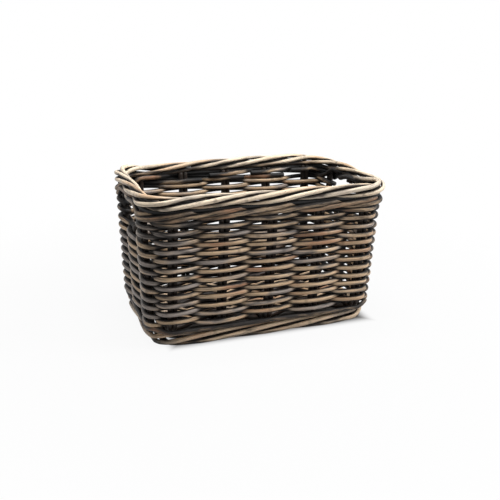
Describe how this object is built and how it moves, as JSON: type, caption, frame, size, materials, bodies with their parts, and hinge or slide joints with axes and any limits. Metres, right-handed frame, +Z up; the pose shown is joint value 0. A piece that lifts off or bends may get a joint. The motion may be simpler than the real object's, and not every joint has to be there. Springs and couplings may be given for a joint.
{
  "type": "bicycle basket",
  "caption": "Open rectangular bicycle basket woven from whole rattan rods, with double stakes, a wale under a twisted rim border, a twisted foot and a hand hole in each end.",
  "frame": {"origin": "centre of the foot's footprint, on the surface that the basket stands on", "axes": "+X along the basket's length, +Y from the front wall to the back wall, +Z up"},
  "size_m": [0.399, 0.2487, 0.2378],
  "materials": {
    "weaver_rattan": "satin",
    "stake_rattan": "matte",
    "rim_rattan": "satin",
    "foot_rattan": "satin"
  },
  "bodies": {
    "root": {"cross_stake_1_left": "stake_rattan", "cross_stake_1_right": "stake_rattan", "cross_stake_2_left": "stake_rattan", "cross_stake_2_right": "stake_rattan", "cross_stake_3_left": "stake_rattan", "cross_stake_3_right": "stake_rattan", "cross_stake_4_left": "stake_rattan", "cross_stake_4_right": "stake_rattan", "cross_stake_5_left": "stake_rattan", "cross_stake_5_right": "stake_rattan", "long_stake_1_front": "stake_rattan", "long_stake_1_back": "stake_rattan", "long_stake_2_front": "stake_rattan", "long_stake_2_back": "stake_rattan", "long_stake_3_front": "stake_rattan", "long_stake_3_back": "stake_rattan", "stub_left_front": "stake_rattan", "stub_left_back": "stake_rattan", "stub_right_front": "stake_rattan", "stub_right_back": "stake_rattan", "base_weaver_front": "weaver_rattan", "base_weaver_back": "weaver_rattan", "weaver_row_1": "weaver_rattan", "weaver_row_2": "weaver_rattan", "weaver_row_3": "weaver_rattan", "weaver_row_4": "weaver_rattan", "weaver_row_5": "weaver_rattan", "weaver_row_6": "weaver_rattan", "weaver_row_7": "weaver_rattan", "weaver_row_8": "weaver_rattan", "weaver_row_9": "weaver_rattan", "weaver_row_10": "weaver_rattan", "weaver_row_11": "weaver_rattan", "weaver_row_12": "weaver_rattan", "weaver_row_13": "weaver_rattan", "weaver_row_14": "weaver_rattan", "weaver_row_15": "weaver_rattan", "weaver_row_16": "weaver_rattan", "weaver_row_17": "weaver_rattan", "weaver_row_18": "weaver_rattan", "weaver_row_19": "weaver_rattan", "hole_weaver_front": "weaver_rattan", "hole_weaver_back": "weaver_rattan", "top_wale_1": "weaver_rattan", "top_wale_2": "weaver_rattan", "top_wale_3": "weaver_rattan", "rim_strand_1": "rim_rattan", "rim_strand_2": "rim_rattan", "rim_strand_3": "rim_rattan", "rim_strand_4": "rim_rattan", "foot_strand_1": "foot_rattan", "foot_strand_2": "foot_rattan", "foot_strand_3": "foot_rattan", "foot_strand_4": "foot_rattan", "rim_core": "stake_rattan", "upsett_ring": "weaver_rattan"}
  },
  "joints": []
}
